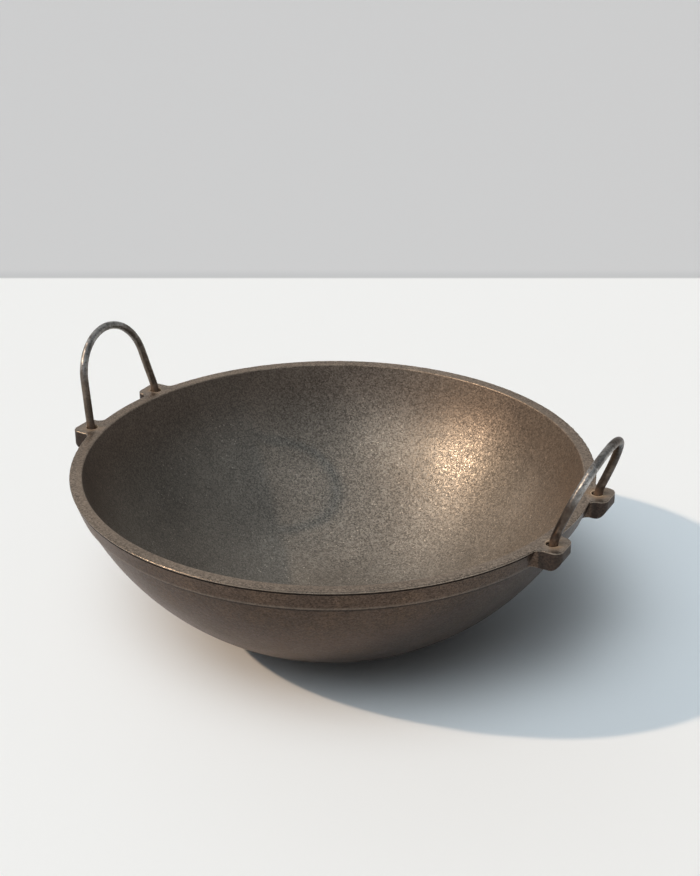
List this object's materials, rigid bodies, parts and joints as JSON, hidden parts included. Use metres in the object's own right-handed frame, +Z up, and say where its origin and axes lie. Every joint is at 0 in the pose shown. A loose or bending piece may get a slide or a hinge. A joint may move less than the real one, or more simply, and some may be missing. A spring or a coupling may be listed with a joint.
{
  "type": "kadai",
  "caption": "Round-bellied cast-iron kadai with a stepped rim band, a flat base, and loose wire loop handles that rock in drilled lugs.",
  "frame": {"origin": "centre of the flat base, on the surface that the kadai stands on", "axes": "+Z up, +X towards the handle that leans out further, +Y across the kadai, along the lines that the handles rock about"},
  "size_m": [0.2788, 0.2536, 0.1312],
  "materials": {
    "cast_iron": "matte sand-cast grain, oiled",
    "wire": "dark drawn steel, worn bright on the outside of the loops"
  },
  "bodies": {
    "bowl": {"bowl": "cast_iron"},
    "handle_left": {"handle_left": "wire"},
    "handle_right": {"handle_right": "wire"}
  },
  "joints": [
    {"name": "left_rock", "type": "hinge", "parent": "bowl", "child": "handle_left", "pos_m": [-0.1256, 0, 0.0815], "axis": [0, 1, 0], "range_deg": [0, 15]},
    {"name": "right_rock", "type": "hinge", "parent": "bowl", "child": "handle_right", "pos_m": [0.1256, 0, 0.0815], "axis": [0, -1, 0], "range_deg": [0, 15]}
  ]
}
